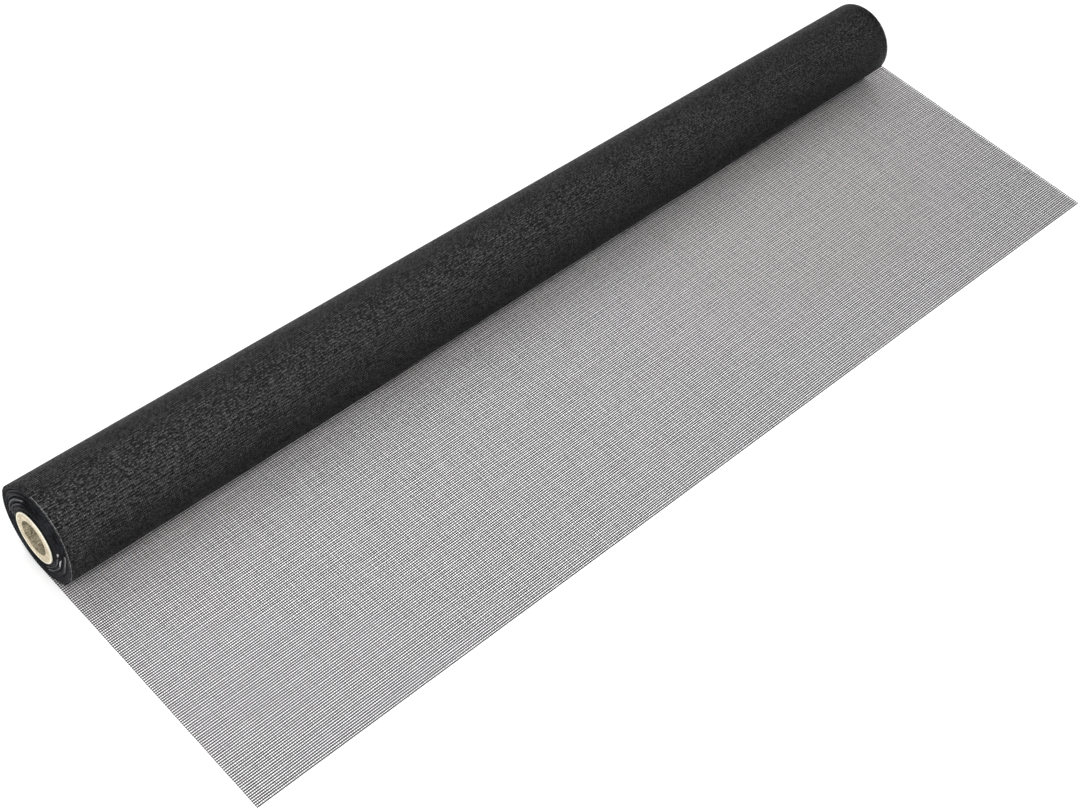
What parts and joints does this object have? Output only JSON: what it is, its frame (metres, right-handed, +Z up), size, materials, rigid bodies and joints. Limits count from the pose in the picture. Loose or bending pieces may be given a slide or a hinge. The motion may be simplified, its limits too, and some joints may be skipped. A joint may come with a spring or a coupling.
{
  "type": "roll of window insect screen",
  "caption": "Roll of fine charcoal mesh window screen wound on a paper core, with its loose end lying flat beside it.",
  "frame": {"origin": "middle of the whole part's plan box, on the floor that it lies on", "axes": "+X along the roll from its loosened end to its tight end, +Z up; the loose end of the mesh runs towards -Y"},
  "size_m": [0.9456, 0.2958, 0.0816],
  "materials": {
    "paper_core": "matt paper",
    "screen_mesh": "coated yarn mesh"
  },
  "bodies": {
    "root": {"core_tube": "paper_core", "wound_roll": "screen_mesh", "loose_sheet": "screen_mesh"}
  },
  "joints": []
}
